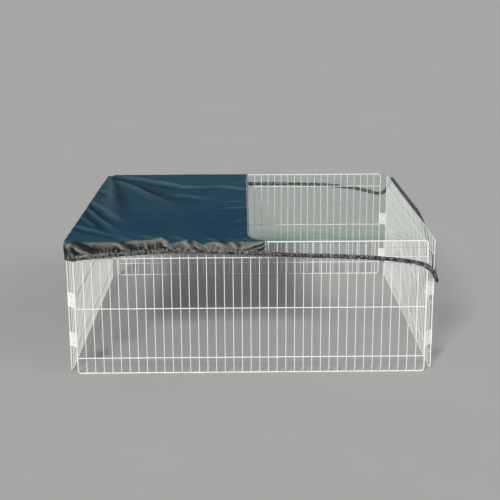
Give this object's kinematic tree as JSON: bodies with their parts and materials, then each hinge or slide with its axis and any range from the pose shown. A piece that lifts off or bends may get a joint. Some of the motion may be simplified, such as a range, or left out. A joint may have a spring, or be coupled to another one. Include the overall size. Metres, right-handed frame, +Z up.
{
  "type": "pet run",
  "caption": "Square folding wire pet run with riveted corner clips and a fitted cover, half shade cloth and half net, held by an elastic hem.",
  "frame": {"origin": "on the ground, in the middle of the run", "axes": "+Z up, +X to the right and +Y to the back, seen from the front panel; the shade half of the cover is at -X"},
  "size_m": [1.2629, 1.2629, 0.467],
  "materials": {
    "panel_wire": "white powder coat, satin",
    "clip_sheet": "white powder coat, satin",
    "rivet": "painted over, satin",
    "shade_cloth": "coated polyester, soft sheen",
    "net": "thin knotless net",
    "hem_cloth": "gathered casing",
    "elastic": "braided cord",
    "seam_tape": "woven tape"
  },
  "bodies": {
    "front_panel": {"front_frame": "panel_wire", "front_uprights": "panel_wire", "front_cross_wires": "panel_wire"},
    "right_panel": {"right_frame": "panel_wire", "right_uprights": "panel_wire", "right_cross_wires": "panel_wire"},
    "back_panel": {"back_frame": "panel_wire", "back_uprights": "panel_wire", "back_cross_wires": "panel_wire"},
    "left_panel": {"left_frame": "panel_wire", "left_uprights": "panel_wire", "left_cross_wires": "panel_wire"},
    "front_right_clips": {"front_right_upper_clip": "clip_sheet", "front_right_upper_rivets": "rivet", "front_right_lower_clip": "clip_sheet", "front_right_lower_rivets": "rivet"},
    "back_right_clips": {"back_right_upper_clip": "clip_sheet", "back_right_upper_rivets": "rivet", "back_right_lower_clip": "clip_sheet", "back_right_lower_rivets": "rivet"},
    "back_left_clips": {"back_left_upper_clip": "clip_sheet", "back_left_upper_rivets": "rivet", "back_left_lower_clip": "clip_sheet", "back_left_lower_rivets": "rivet"},
    "front_left_clips": {"front_left_upper_clip": "clip_sheet", "front_left_upper_rivets": "rivet", "front_left_lower_clip": "clip_sheet", "front_left_lower_rivets": "rivet"},
    "cover": {"shade_top": "shade_cloth", "shade_skirt_front": "shade_cloth", "shade_skirt_left": "shade_cloth", "shade_skirt_back": "shade_cloth", "net_top": "net", "seam_tape": "seam_tape", "net_skirt_front": "net", "net_skirt_right": "net", "net_skirt_back": "net", "hem_casing_net": "hem_cloth", "hem_casing_shade": "hem_cloth", "elastic_cord": "elastic"}
  },
  "joints": [
    {"name": "fold", "type": "hinge", "parent": "front_panel", "child": "front_right_clips", "pos_m": [0.584, -0.60946, 0], "axis": [0, 0, 1], "range_deg": [-45, 45], "deforming": ["shade_top", "shade_skirt_front", "shade_skirt_left", "shade_skirt_back", "net_top", "seam_tape", "net_skirt_front", "net_skirt_right", "net_skirt_back", "hem_casing_net", "hem_casing_shade", "elastic_cord"]},
    {"name": "right_panel_swing", "type": "hinge", "parent": "front_right_clips", "child": "right_panel", "pos_m": [0.60946, -0.584, 0], "axis": [0, 0, 1], "range_deg": [-45, 45]},
    {"name": "back_right_clip_turn", "type": "hinge", "parent": "right_panel", "child": "back_right_clips", "pos_m": [0.60946, 0.584, 0], "axis": [0, 0, 1], "range_deg": [-45, 45]},
    {"name": "back_panel_swing", "type": "hinge", "parent": "back_right_clips", "child": "back_panel", "pos_m": [0.584, 0.60946, 0], "axis": [0, 0, 1], "range_deg": [-45, 45]},
    {"name": "back_left_clip_turn", "type": "hinge", "parent": "back_panel", "child": "back_left_clips", "pos_m": [-0.584, 0.60946, 0], "axis": [0, 0, 1], "range_deg": [-45, 45]},
    {"name": "front_left_clip_turn", "type": "hinge", "parent": "front_panel", "child": "front_left_clips", "pos_m": [-0.584, -0.60946, 0], "axis": [0, 0, 1], "range_deg": [-45, 45]},
    {"name": "left_panel_swing", "type": "hinge", "parent": "front_left_clips", "child": "left_panel", "pos_m": [-0.60946, -0.584, 0], "axis": [0, 0, 1], "range_deg": [-45, 45]},
    {"name": "cover_lift", "type": "slide", "parent": "front_panel", "child": "cover", "axis": [0, 0, 1], "range_m": [0, 0.2]}
  ],
  "couplings": [
    {"joint": "right_panel_swing", "follows": "fold", "ratio": 1},
    {"joint": "back_right_clip_turn", "follows": "fold", "ratio": -1},
    {"joint": "back_panel_swing", "follows": "fold", "ratio": -1},
    {"joint": "back_left_clip_turn", "follows": "fold", "ratio": 1},
    {"joint": "front_left_clip_turn", "follows": "fold", "ratio": 1},
    {"joint": "left_panel_swing", "follows": "fold", "ratio": 1}
  ]
}
